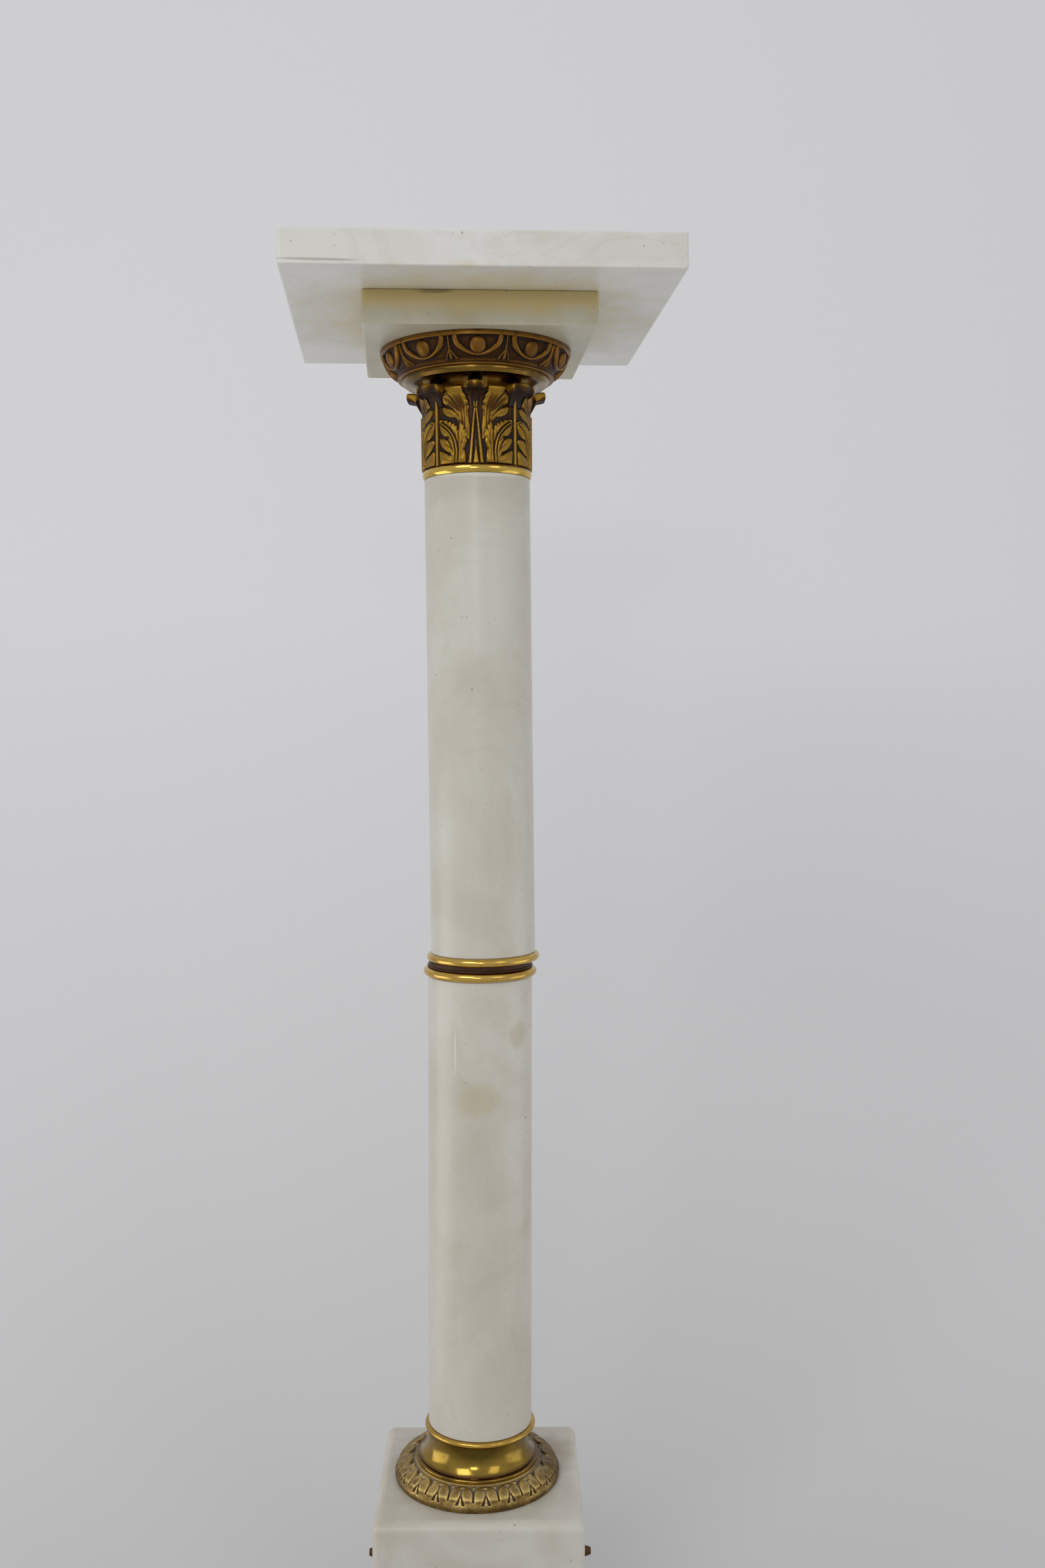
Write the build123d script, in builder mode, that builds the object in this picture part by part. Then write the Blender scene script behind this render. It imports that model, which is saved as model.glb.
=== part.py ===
from build123d import *
import os
from math import cos, radians, sin, tan

# A pedestal column of pale onyx drums and slabs with gilt bronze mounts between
# them, all clamped on one iron rod. Millimetres, +Z up, the origin at the centre
# of the foot. The front looks along -Y and its right is +X.

# Foot slab and block, both square
foot_side = 206
foot_height = 25
foot_corner = 6
foot_edge = 3
block_side = 163.6
block_height = 144
block_corner = 5
block_edge = 7.5
rod_bore_radius = 10

# Bosses on the four faces of the block
boss_height = 76.5
boss_radius = 4.4
boss_flange = 1.2
boss_shoulder = (4.0, 5.2)
boss_tip_radius = 2.6
boss_reach = 9.2
boss_stud_radius = 1.6
boss_stud_length = 12
boss_hole_radius = 1.7
boss_hole_depth = 13

# Mounts at the foot of the shaft, which sit a little to the left of its axis
base_shift = -2.3
leaf_ring_radius = 67.2
leaf_ring_foot_radius = 66.6
leaf_ring_top_radius = 52
leaf_ring_inner_radius = 40
leaf_ring_height = 14.3
leaf_ring_waist = 3.7
leaf_ring_crown = (62.6, 11.1)
leaf_ring_ground_crown = (61.4, 10.1)
petal_count = 20
petal_relief = 1.4
petal_turn = 7
petal_centre_radius = 64
petal_half_length = 11.8
petal_half_width = 9.6
scotia_height = 25.6
scotia_ring_radius = 50
scotia_ring_height = 3.2
scotia_foot_radius = 47.3
scotia_foot_height = 4
scotia_neck_radius = 41.4
scotia_sweep = (42.2, 11.5)
scotia_inner_radius = 34
bead_ring_radius = 45
bead_ring_height = 4.4
mount_inner_radius = 30

# Shaft in two drums, with two rings and a neck between them
shaft_radius = 42
shaft_edge = 0.6
lower_shaft_length = 366.6
lower_ring_radius = 45.6
lower_ring_height = 6.9
neck_radius = 41.5
neck_height = 5.1
neck_fillet_radius = 42.5
neck_fillet_height = 2
upper_ring_radius = 45.4
upper_ring_height = 6.4
upper_shaft_length = 378

# The upper half stands a little to the right on the neck and leans to the left
upper_shift = 2.58
upper_lean = 0.72

# Capital
collar_radius = 43.6
collar_edge_radius = 42.5
collar_height = 6.5
basket_height = 51.2
basket_inner_radius = 36
basket_ground_radius = 41.9
basket_lip_radius = 42.9
basket_flare_height = 45.6
leaf_unit_count = 4
leaf_plane_near = 24
leaf_plane_far = 56
leaf_root_depth = 0.8
upper_leaf_radius = 43
lower_leaf_radius = 44
stem_width = 2.2
seam_turn = 17
narrow_curl_width = 13
wide_curl_width = 24
bell_height = 20.3
bell_foot_radius = 42.3
bell_neck_height = 5.7
bell_flare = 10.3
bell_radius = 59
bell_band = 1.9
egg_ring_height = 22.2
egg_ring_foot_radius = 62
egg_ring_radius = 75.6
egg_ring_rim = 3.6
egg_ring_wall = 5
egg_ring_relief = 3
egg_ring_foot_lip = 1
egg_ring_floor = 3
egg_ring_inner_curve = [(56.5, 3), (64.5, 10)]
egg_count = 10
egg_turn = 2.3
egg_radius = 7
egg_half_length = 8.2
egg_slope = 60
egg_face_point = (72.2, 10.6)
egg_proud = 0.4

# Slabs on the capital, turned a little on the shaft
top_turn = 3.8
abacus_side = 175.2
abacus_height = 25.4
top_side = 288.8
top_height = 25.3
slab_edge = 1.2
slab_corner = 2.5

# Rod, washers and nuts, all hidden
rod_radius = 6
rod_bend_radius = 400
rod_proud = 4
washer_radius = 17
washer_hole_radius = 6.5
washer_height = 2.5
nut_width = 19
nut_height = 10
pocket_radius = 21
pocket_depth = 18.5

# Heights of the seats, from the foot up
leaf_ring_seat = foot_height + block_height
scotia_seat = leaf_ring_seat + leaf_ring_height
bead_ring_seat = scotia_seat + scotia_height
lower_shaft_seat = bead_ring_seat + bead_ring_height
lower_ring_seat = lower_shaft_seat + lower_shaft_length
neck_seat = lower_ring_seat + lower_ring_height
upper_seat = neck_seat + neck_height

# Heights along the leaning upper axis, from the top face of the neck
collar_seat = upper_ring_height + upper_shaft_length
basket_seat = collar_seat + collar_height
bell_seat = basket_seat + basket_height
egg_ring_seat = bell_seat + bell_height
abacus_seat = egg_ring_seat + egg_ring_height
top_seat = abacus_seat + abacus_height

# Planes and axes that carry the mounts, the upper half and the turned slabs
base_plane = Plane(origin=(base_shift, 0, leaf_ring_seat), z_dir=(0, 0, 1))
base_axis = Axis(base_plane.origin, base_plane.z_dir)
upper_plane = Plane(
    origin=(upper_shift, 0, upper_seat),
    x_dir=(cos(radians(upper_lean)), 0, sin(radians(upper_lean))),
    z_dir=(-sin(radians(upper_lean)), 0, cos(radians(upper_lean))),
)
upper_axis = Axis(upper_plane.origin, upper_plane.z_dir)


def turned(seat, turn):
    """A seat turned about its own axis."""
    return Plane(seat.location * Rotation(0, 0, turn))


def upright(seat, turn=0):
    """The plane that stands on a seat through its axis and faces out at this turn from the front."""
    facing = turned(seat, turn)
    return Plane(origin=facing.origin, x_dir=facing.x_dir, z_dir=facing.y_dir * -1)


def half_round_ring(seat, low, height, outer, inner):
    """A turned ring with flat faces and a half-round outer edge."""
    flat = outer - height / 2
    with BuildPart() as ring:
        with BuildSketch(upright(seat)):
            with BuildLine():
                Polyline((flat, low + height), (inner, low + height), (inner, low), (flat, low))
                ThreePointArc((flat, low), (outer, low + height / 2), (flat, low + height))
            make_face()
        revolve(axis=Axis(seat.origin, seat.z_dir))
    return ring.part


def drum(seat, low, length):
    """A turned stone drum with a bore for the rod."""
    with BuildPart() as stone:
        with BuildSketch(seat.offset(low)):
            Circle(shaft_radius)
        extrude(amount=length)
        chamfer(stone.edges(), shaft_edge)
        with BuildSketch(seat.offset(low)):
            Circle(rod_bore_radius)
        extrude(amount=length, mode=Mode.SUBTRACT)
    return stone.part


def square_slab(seat, low, side, height, corner, edge):
    """A sawn and polished square slab with soft corners and edges."""
    with BuildPart() as slab:
        with BuildSketch(seat.offset(low)):
            RectangleRounded(side, side, corner)
        extrude(amount=height)
        ends = slab.faces().filter_by(GeomType.PLANE).sort_by(Axis(seat.origin, seat.z_dir))
        fillet(ends[0].edges() + ends[-1].edges(), edge)
    return slab.part


top_plane = turned(upper_plane, top_turn)
os.makedirs("parts", exist_ok=True)

# Foot slab, with a recess under it for the nut
foot_blank = square_slab(Plane.XY, 0, foot_side, foot_height, foot_corner, foot_edge)
with BuildPart() as plinth_slab:
    add(foot_blank)
    with BuildSketch(Plane.XY):
        Circle(rod_bore_radius)
    extrude(amount=foot_height, mode=Mode.SUBTRACT)
    with BuildSketch(Plane.XY):
        Circle(pocket_radius)
    extrude(amount=pocket_depth, mode=Mode.SUBTRACT)
plinth_slab.part.label = "plinth_slab"
export_step(plinth_slab.part, "parts/plinth_slab.step")

# Block: its top edge is rounded wide, and each face has a hole for its boss
block_plane = Plane.XY.offset(foot_height)
boss_seat = block_plane.offset(boss_height)
with BuildPart() as plinth_block:
    with BuildSketch(block_plane):
        RectangleRounded(block_side, block_side, block_corner)
        Circle(rod_bore_radius, mode=Mode.SUBTRACT)
    extrude(amount=block_height)
    rim = plinth_block.faces().sort_by(Axis.Z)[-1].outer_wire()
    fillet(rim.edges(), block_edge)
    for quarter in range(4):
        with BuildSketch(upright(boss_seat, 90 * quarter).offset(block_side / 2)):
            Circle(boss_hole_radius)
        extrude(amount=-boss_hole_depth, mode=Mode.SUBTRACT)
plinth_block.part.label = "plinth_block"
export_step(plinth_block.part, "parts/plinth_block.step")

# Bosses: turned bronze domes with a flat tip, each on its own stud in the stone
for quarter, side_name in enumerate(("front", "right", "back", "left")):
    face = upright(boss_seat, 90 * quarter).offset(block_side / 2)
    with BuildPart() as plinth_boss:
        with BuildSketch(upright(face)):
            with BuildLine():
                Polyline(
                    (boss_tip_radius, boss_reach),
                    (0, boss_reach),
                    (0, -boss_stud_length),
                    (boss_stud_radius, -boss_stud_length),
                    (boss_stud_radius, 0),
                    (boss_radius, 0),
                    (boss_radius, boss_flange),
                )
                ThreePointArc((boss_radius, boss_flange), boss_shoulder, (boss_tip_radius, boss_reach))
            make_face()
        revolve(axis=Axis(face.origin, face.z_dir))
    plinth_boss.part.label = f"plinth_boss_{side_name}"
    export_step(plinth_boss.part, f"parts/plinth_boss_{side_name}.step")

# Leaf ring: a cast hollow flange. Its petals stand proud of a plain ground, each with a
# forked vein cut in it, and a small triangle fills the notch between two petals
petal_sketch_radius = leaf_ring_radius + 1
petal_vein = [(-8.5, 0.5), (-4.2, 0.6), (1.5, 2.9), (1.5, 1.7), (-2.6, 0)]
vein_mirrored = [(x, -y) for x, y in reversed(petal_vein[:-1])]
notch_triangle = [(-10.8, 2.4), (-10.8, -2.4), (-6.6, 0)]
first_petal = petal_turn - 90
first_notch = first_petal + 180 / petal_count
with BuildPart() as base_leaf_ring:
    with BuildSketch(base_plane):
        Circle(petal_sketch_radius)
        Circle(petal_centre_radius, mode=Mode.SUBTRACT)
        with PolarLocations(petal_centre_radius, petal_count, start_angle=first_petal):
            Ellipse(petal_half_length, petal_half_width)
        with PolarLocations(petal_centre_radius, petal_count, start_angle=first_notch):
            Polygon(*notch_triangle, align=None)
        with PolarLocations(petal_centre_radius, petal_count, start_angle=first_petal):
            Polygon(*petal_vein, *vein_mirrored, align=None, mode=Mode.SUBTRACT)
    extrude(amount=leaf_ring_height)
    with BuildSketch(upright(base_plane)):
        with BuildLine():
            Polyline(
                (leaf_ring_top_radius, leaf_ring_height),
                (leaf_ring_inner_radius, leaf_ring_height),
                (leaf_ring_inner_radius, 0),
                (leaf_ring_foot_radius, 0),
                (leaf_ring_radius, leaf_ring_waist),
            )
            ThreePointArc(
                (leaf_ring_radius, leaf_ring_waist),
                leaf_ring_crown,
                (leaf_ring_top_radius, leaf_ring_height),
            )
        make_face()
    revolve(axis=base_axis, mode=Mode.INTERSECT)
    with BuildSketch(upright(base_plane)):
        with BuildLine():
            Polyline(
                (leaf_ring_top_radius, leaf_ring_height),
                (leaf_ring_inner_radius, leaf_ring_height),
                (leaf_ring_inner_radius, 0),
                (leaf_ring_radius - petal_relief, 0),
                (leaf_ring_radius - petal_relief, leaf_ring_waist),
            )
            ThreePointArc(
                (leaf_ring_radius - petal_relief, leaf_ring_waist),
                leaf_ring_ground_crown,
                (leaf_ring_top_radius + 1, leaf_ring_height - petal_relief),
            )
            Line(
                (leaf_ring_top_radius + 1, leaf_ring_height - petal_relief),
                (leaf_ring_top_radius, leaf_ring_height),
            )
        make_face()
    revolve(axis=base_axis)
base_leaf_ring.part.label = "base_leaf_ring"
export_step(base_leaf_ring.part, "parts/base_leaf_ring.step")

# Scotia: a turned hollow moulding that sweeps in from a thin ring to a narrow neck
scotia_foot = scotia_seat - leaf_ring_seat
scotia_top = scotia_foot + scotia_height
with BuildPart() as base_scotia:
    with BuildSketch(upright(base_plane)):
        with BuildLine():
            Polyline(
                (scotia_neck_radius, scotia_top),
                (scotia_inner_radius, scotia_top),
                (scotia_inner_radius, scotia_foot),
                (scotia_ring_radius - scotia_ring_height / 2, scotia_foot),
            )
            ThreePointArc(
                (scotia_ring_radius - scotia_ring_height / 2, scotia_foot),
                (scotia_ring_radius, scotia_foot + scotia_ring_height / 2),
                (scotia_ring_radius - scotia_ring_height / 2, scotia_foot + scotia_ring_height),
            )
            Polyline(
                (scotia_ring_radius - scotia_ring_height / 2, scotia_foot + scotia_ring_height),
                (scotia_foot_radius, scotia_foot + scotia_ring_height),
                (scotia_foot_radius, scotia_foot + scotia_foot_height),
            )
            ThreePointArc(
                (scotia_foot_radius, scotia_foot + scotia_foot_height),
                (scotia_sweep[0], scotia_foot + scotia_sweep[1]),
                (scotia_neck_radius, scotia_top),
            )
        make_face()
    revolve(axis=base_axis)
base_scotia.part.label = "base_scotia"
export_step(base_scotia.part, "parts/base_scotia.step")

# Bead ring: the half-round ring that the shaft stands on, true to the shaft's own axis
base_bead_ring = half_round_ring(
    Plane.XY, bead_ring_seat, bead_ring_height, bead_ring_radius, mount_inner_radius
)
base_bead_ring.label = "base_bead_ring"
export_step(base_bead_ring, "parts/base_bead_ring.step")

# Lower drum of the shaft
lower_shaft = drum(Plane.XY, lower_shaft_seat, lower_shaft_length)
lower_shaft.label = "lower_shaft"
export_step(lower_shaft, "parts/lower_shaft.step")

# Lower ring of the joint at mid height
lower_joint_ring = half_round_ring(
    Plane.XY, lower_ring_seat, lower_ring_height, lower_ring_radius, mount_inner_radius
)
lower_joint_ring.label = "lower_joint_ring"
export_step(lower_joint_ring, "parts/lower_joint_ring.step")

# Neck between the rings: its top face is worn to the slope that the upper half leans at
neck_blank_top = neck_seat + 2 * neck_height
with BuildPart() as joint_neck:
    with BuildSketch(Plane.XZ):
        with BuildLine():
            Polyline(
                (neck_radius, neck_blank_top),
                (mount_inner_radius, neck_blank_top),
                (mount_inner_radius, neck_seat),
                (neck_radius, neck_seat),
            )
            ThreePointArc(
                (neck_radius, neck_seat),
                (neck_fillet_radius, neck_seat + neck_fillet_height / 2),
                (neck_radius, neck_seat + neck_fillet_height),
            )
            Line((neck_radius, neck_seat + neck_fillet_height), (neck_radius, neck_blank_top))
        make_face()
    revolve(axis=Axis.Z)
    split(bisect_by=upper_plane, keep=Keep.BOTTOM)
joint_neck.part.label = "joint_neck"
export_step(joint_neck.part, "parts/joint_neck.step")

# Upper ring of the joint, the first piece that leans
upper_joint_ring = half_round_ring(upper_plane, 0, upper_ring_height, upper_ring_radius, mount_inner_radius)
upper_joint_ring.label = "upper_joint_ring"
export_step(upper_joint_ring, "parts/upper_joint_ring.step")

# Upper drum of the shaft
upper_shaft = drum(upper_plane, upper_ring_height, upper_shaft_length)
upper_shaft.label = "upper_shaft"
export_step(upper_shaft, "parts/upper_shaft.step")

# Collar: a turned band with a crowned face
with BuildPart() as capital_collar:
    with BuildSketch(upright(upper_plane)):
        with BuildLine():
            Polyline(
                (collar_edge_radius, basket_seat),
                (mount_inner_radius, basket_seat),
                (mount_inner_radius, collar_seat),
                (collar_edge_radius, collar_seat),
            )
            ThreePointArc(
                (collar_edge_radius, collar_seat),
                (collar_radius, collar_seat + collar_height / 2),
                (collar_edge_radius, basket_seat),
            )
        make_face()
    revolve(axis=upper_axis)
capital_collar.part.label = "capital_collar"
export_step(capital_collar.part, "parts/capital_collar.step")

# Acanthus leaves, drawn flat on the front of a unit as half outlines: distance from
# the unit's middle, height above the foot of the basket
upright_leaf = [(7.8, 1), (6.2, 14), (6.2, 24), (8.2, 27.5), (10.2, 33.5), (12, 28), (13.4, 25), (11.4, 1)]
side_leaf = [
    (12.8, 1), (13.3, 12), (14.8, 21), (18.5, 29), (23.4, 35.7), (27.8, 36.2), (27.3, 27.5), (22.8, 23.4),
    (27.6, 22.2), (27, 16), (22, 12.8), (27.6, 12.6), (27, 2), (24, 1),
]
tall_leaf = [
    (4.6, 16), (3.9, 44), (7.5, 53), (13, 57.4), (24, 57.8), (27.5, 53), (21.5, 47.2), (26.5, 45.4),
    (25.5, 38.5), (20, 30), (14, 16),
]
spear = [(0, 43), (6, 1), (3.6, 1), (0, 27)]
spear_core = [(0, 18.5), (2.4, 1), (0, 1)]


def leaf_layer(figures, face_line, first_turn=0):
    """Raised figures on both sides of each unit's middle, trimmed to a turned section."""
    with BuildPart() as layer:
        for unit in range(leaf_unit_count):
            front = upright(upper_plane, first_turn + unit * 360 / leaf_unit_count)
            with BuildSketch(front.offset(leaf_plane_near)):
                for figure in figures:
                    for side in (1, -1):
                        with BuildLine():
                            Polyline([(side * x, basket_seat + y) for x, y in figure], close=True)
                        make_face()
            extrude(amount=leaf_plane_far - leaf_plane_near)
        with BuildSketch(upright(upper_plane, seam_turn)):
            with BuildLine():
                Polyline([(x, basket_seat + y) for x, y in face_line], close=True)
            make_face()
        revolve(axis=upper_axis, mode=Mode.INTERSECT)
    return layer.part


def strip(half_width, low, high):
    """Half outline of an upright strip on a unit's middle."""
    return [(0, low), (half_width, low), (half_width, high), (0, high)]


# Two tiers of leaves, a thin stem between units, and leaf tips that curl out over the
# bell: narrow ones over the units' middles and wide ones over the stems
root = basket_ground_radius - leaf_root_depth
tall_face = [
    (root, 0), (upper_leaf_radius, 0), (upper_leaf_radius, 44), (46.6, 59), (44.4, 59), (43, 50), (root, 49),
]
low_face = [
    (root, 0), (lower_leaf_radius - 0.8, 0), (lower_leaf_radius, 30), (lower_leaf_radius, 49), (root, 49),
]
stem_face = [(root, 0), (upper_leaf_radius + 0.3, 0), (upper_leaf_radius + 0.3, 50), (root, 50)]
curl_face = [
    (root, 43), (43.4, 46.5), (45.4, 49.5), (48, 53.5), (53, 55.5), (54.4, 58.5), (52.9, 62.5), (44.4, 61),
    (43, 50), (root, 48),
]
tall_leaves = leaf_layer([tall_leaf], tall_face)
low_leaves = leaf_layer([upright_leaf, side_leaf, spear, spear_core], low_face)
stems = leaf_layer([strip(stem_width / 2, 0.5, basket_height - 1)], stem_face, 45)
narrow_curls = leaf_layer([strip(narrow_curl_width / 2, 40, 65)], curl_face)
wide_curls = leaf_layer([strip(wide_curl_width / 2, 40, 65)], curl_face, 45)

# Basket: a hollow casting with a plain ground behind the leaves
with BuildPart() as acanthus_basket:
    with BuildSketch(upright(upper_plane, seam_turn)):
        with BuildLine():
            Polyline(
                (basket_inner_radius, basket_seat),
                (basket_ground_radius, basket_seat),
                (basket_ground_radius, basket_seat + basket_flare_height),
                (basket_lip_radius + 0.9, bell_seat),
                (basket_inner_radius, bell_seat),
                close=True,
            )
        make_face()
    revolve(axis=upper_axis)
    add([tall_leaves, low_leaves, stems, narrow_curls, wide_curls])
acanthus_basket.part.label = "acanthus_basket"
export_step(acanthus_basket.part, "parts/acanthus_basket.step")

# Bell: turned thin, it rises behind the curls and sweeps out to a flat band
bell_turn_height = bell_seat + bell_neck_height
bell_lip_height = bell_turn_height + bell_flare
bell_arc_side = bell_flare * cos(radians(45))
with BuildPart() as capital_bell:
    with BuildSketch(upright(upper_plane)):
        with BuildLine():
            Polyline(
                (bell_radius - 1.4, egg_ring_seat - bell_band),
                (bell_radius, egg_ring_seat - bell_band),
                (bell_radius, egg_ring_seat),
                (basket_inner_radius, egg_ring_seat),
                (basket_inner_radius, bell_seat),
                (bell_foot_radius, bell_seat),
                (bell_foot_radius, bell_turn_height),
            )
            ThreePointArc(
                (bell_foot_radius, bell_turn_height),
                (bell_foot_radius + bell_flare - bell_arc_side, bell_turn_height + bell_arc_side),
                (bell_foot_radius + bell_flare, bell_lip_height),
            )
            Polyline(
                (bell_foot_radius + bell_flare, bell_lip_height),
                (bell_radius - 3.4, bell_lip_height),
                (bell_radius - 1.4, egg_ring_seat - bell_band),
            )
        make_face()
    revolve(axis=upper_axis)
capital_bell.part.label = "capital_bell"
export_step(capital_bell.part, "parts/capital_bell.step")

# Egg and dart ring: a hollow cast ovolo. The bands round the eggs and the darts between
# them stand out to the ovolo's full curve, and the eggs stand a little prouder still
rim_low = egg_ring_height - egg_ring_rim
rim_seat = egg_ring_seat + rim_low
lip_seat = egg_ring_seat + egg_ring_foot_lip
floor_seat = egg_ring_seat + egg_ring_floor
wall_radius = egg_ring_radius - 1 - egg_ring_wall
ovolo = [(egg_ring_foot_radius, egg_ring_foot_lip), (70.3, 8), (egg_ring_radius - 1, rim_low)]
ground = [(r - egg_ring_relief * 0.8, h + egg_ring_relief * 0.4) for r, h in ovolo]
band_outer = (20.2, 15.8)
band_inner = (15.6, 11.6)
dart = [(0, 1.6), (1.4, 6), (3.2, 1.9), (5, 2.4), (1.3, 10), (1.2, rim_low), (0, rim_low)]
figure_plane_near = 50
figure_reach = 30
egg_depth = egg_radius - egg_proud
egg_middle = (
    egg_face_point[0] - egg_depth * sin(radians(egg_slope)),
    egg_ring_seat + egg_face_point[1] + egg_depth * cos(radians(egg_slope)),
)
with BuildPart() as egg_and_dart_ring:
    for egg in range(egg_count):
        egg_face = upright(upper_plane, egg_turn + egg * 360 / egg_count).offset(figure_plane_near)
        dart_face = upright(upper_plane, egg_turn + (egg + 0.5) * 360 / egg_count).offset(figure_plane_near)
        with BuildSketch(egg_face):
            with Locations((0, rim_seat)):
                Ellipse(*band_outer)
                Ellipse(*band_inner, mode=Mode.SUBTRACT)
        extrude(amount=figure_reach)
        with BuildSketch(dart_face):
            for side in (1, -1):
                with BuildLine():
                    Polyline([(side * x, egg_ring_seat + y) for x, y in dart], close=True)
                make_face()
        extrude(amount=figure_reach)
    with BuildSketch(upright(upper_plane)):
        with BuildLine():
            ThreePointArc(*[(r, egg_ring_seat + h) for r, h in ovolo])
            Polyline(
                (egg_ring_radius - 1, rim_seat),
                (egg_ring_foot_radius - 2, rim_seat),
                (egg_ring_foot_radius - 4, lip_seat),
                (egg_ring_foot_radius, lip_seat),
            )
        make_face()
    revolve(axis=upper_axis, mode=Mode.INTERSECT)
    for egg in range(egg_count):
        radial = upright(upper_plane, egg_turn + egg * 360 / egg_count - 90)
        egg_origin = radial.from_local_coords(egg_middle)
        egg_plane = turned(Plane(egg_origin, radial.x_dir, radial.z_dir), egg_slope - 90)
        with BuildSketch(egg_plane):
            with BuildLine():
                ThreePointArc((0, -egg_half_length), (egg_radius, 0), (0, egg_half_length))
                Line((0, egg_half_length), (0, -egg_half_length))
            make_face()
        revolve(axis=Axis(egg_plane.origin, egg_plane.y_dir))
    split(bisect_by=upper_plane.offset(rim_seat), keep=Keep.BOTTOM)
    with BuildSketch(upright(upper_plane)):
        with BuildLine():
            Polyline(
                (egg_ring_foot_radius, lip_seat),
                (egg_ring_foot_radius, egg_ring_seat),
                (basket_inner_radius, egg_ring_seat),
                (basket_inner_radius, floor_seat),
                (egg_ring_inner_curve[0][0], floor_seat),
            )
            ThreePointArc(
                (egg_ring_inner_curve[0][0], floor_seat),
                (egg_ring_inner_curve[1][0], egg_ring_seat + egg_ring_inner_curve[1][1]),
                (wall_radius, rim_seat),
            )
            Polyline(
                (wall_radius, rim_seat),
                (wall_radius, abacus_seat),
                (egg_ring_radius, abacus_seat),
                (egg_ring_radius, rim_seat),
                (ground[2][0], rim_seat),
            )
            ThreePointArc(
                (ground[2][0], rim_seat),
                (ground[1][0], egg_ring_seat + ground[1][1]),
                (egg_ring_foot_radius - 1, lip_seat),
            )
            Line((egg_ring_foot_radius - 1, lip_seat), (egg_ring_foot_radius, lip_seat))
        make_face()
    revolve(axis=upper_axis)
egg_and_dart_ring.part.label = "egg_and_dart_ring"
export_step(egg_and_dart_ring.part, "parts/egg_and_dart_ring.step")

# Abacus: the smaller slab, bored for the rod
abacus_blank = square_slab(top_plane, abacus_seat, abacus_side, abacus_height, slab_corner, slab_edge)
with BuildPart() as abacus_slab:
    add(abacus_blank)
    with BuildSketch(top_plane.offset(abacus_seat)):
        Circle(rod_bore_radius)
    extrude(amount=abacus_height, mode=Mode.SUBTRACT)
abacus_slab.part.label = "abacus_slab"
export_step(abacus_slab.part, "parts/abacus_slab.step")

# Top slab: plain above, with a blind pocket under it that clears the nut
top_blank = square_slab(top_plane, top_seat, top_side, top_height, slab_corner, slab_edge)
with BuildPart() as top_slab:
    add(top_blank)
    with BuildSketch(top_plane.offset(top_seat)):
        Circle(pocket_radius)
    extrude(amount=pocket_depth, mode=Mode.SUBTRACT)
top_slab.part.label = "top_slab"
export_step(top_slab.part, "parts/top_slab.step")


def washer(seat, low):
    """A flat round washer."""
    with BuildPart() as plate:
        with BuildSketch(seat.offset(low)):
            Circle(washer_radius)
            Circle(washer_hole_radius, mode=Mode.SUBTRACT)
        extrude(amount=washer_height)
    return plate.part


def hex_nut(seat, low):
    """A hexagonal nut, its bore the size of the rod's thread."""
    with BuildPart() as hexagon:
        with BuildSketch(seat.offset(low)):
            RegularPolygon(nut_width / 2, 6, major_radius=False)
            Circle(rod_radius, mode=Mode.SUBTRACT)
        extrude(amount=nut_height)
    return hexagon.part


# Washer and nut under the foot slab
bottom_washer_seat = pocket_depth - washer_height
bottom_nut_seat = bottom_washer_seat - nut_height
bottom_washer = washer(Plane.XY, bottom_washer_seat)
bottom_washer.label = "bottom_washer"
export_step(bottom_washer, "parts/bottom_washer.step")
bottom_nut = hex_nut(Plane.XY, bottom_nut_seat)
bottom_nut.label = "bottom_nut"
export_step(bottom_nut, "parts/bottom_nut.step")

# Washer and nut on the abacus, inside the pocket of the top slab
top_washer = washer(top_plane, top_seat)
top_washer.label = "top_washer"
export_step(top_washer, "parts/top_washer.step")
top_nut = hex_nut(top_plane, top_seat + washer_height)
top_nut.label = "top_nut"
export_step(top_nut, "parts/top_nut.step")

# Rod: upright through the lower half, then bent to the lean of the upper half where the
# two axes cross, so that both nuts sit square
rod_foot = (0, 0, bottom_nut_seat - rod_proud)
rod_bend = (0, 0, upper_seat + upper_shift / tan(radians(upper_lean)))
rod_head = upper_plane.from_local_coords((0, 0, top_seat + washer_height + nut_height + rod_proud))
with BuildPart() as tie_rod:
    with BuildLine():
        FilletPolyline(rod_foot, rod_bend, rod_head, radius=rod_bend_radius)
    with BuildSketch(Plane.XY.offset(bottom_nut_seat - rod_proud)):
        Circle(rod_radius)
    sweep()
tie_rod.part.label = "tie_rod"
export_step(tie_rod.part, "parts/tie_rod.step")
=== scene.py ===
import bpy
import numpy as np
from math import pi, radians
from mathutils import Matrix, Vector


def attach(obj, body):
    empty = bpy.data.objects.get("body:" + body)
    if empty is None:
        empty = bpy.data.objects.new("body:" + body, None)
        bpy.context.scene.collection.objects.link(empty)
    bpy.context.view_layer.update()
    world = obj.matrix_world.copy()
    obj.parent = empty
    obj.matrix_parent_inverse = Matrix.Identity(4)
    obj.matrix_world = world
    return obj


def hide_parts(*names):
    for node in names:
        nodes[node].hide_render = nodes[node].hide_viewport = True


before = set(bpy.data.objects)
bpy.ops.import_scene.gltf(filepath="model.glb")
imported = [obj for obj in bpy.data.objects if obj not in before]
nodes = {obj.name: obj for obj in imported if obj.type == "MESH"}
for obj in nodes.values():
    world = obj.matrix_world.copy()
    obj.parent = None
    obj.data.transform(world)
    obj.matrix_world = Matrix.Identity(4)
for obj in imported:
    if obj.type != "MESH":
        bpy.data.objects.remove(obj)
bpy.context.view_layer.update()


# Foot slab: a sawn square of pale onyx under the block, ground flat and polished, its
# edges softened. It stands on the floor and hides the lower nut in a recess.
mm_in_metre = 1000
patch_end = 1.25
patch_gain = 1.6


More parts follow.
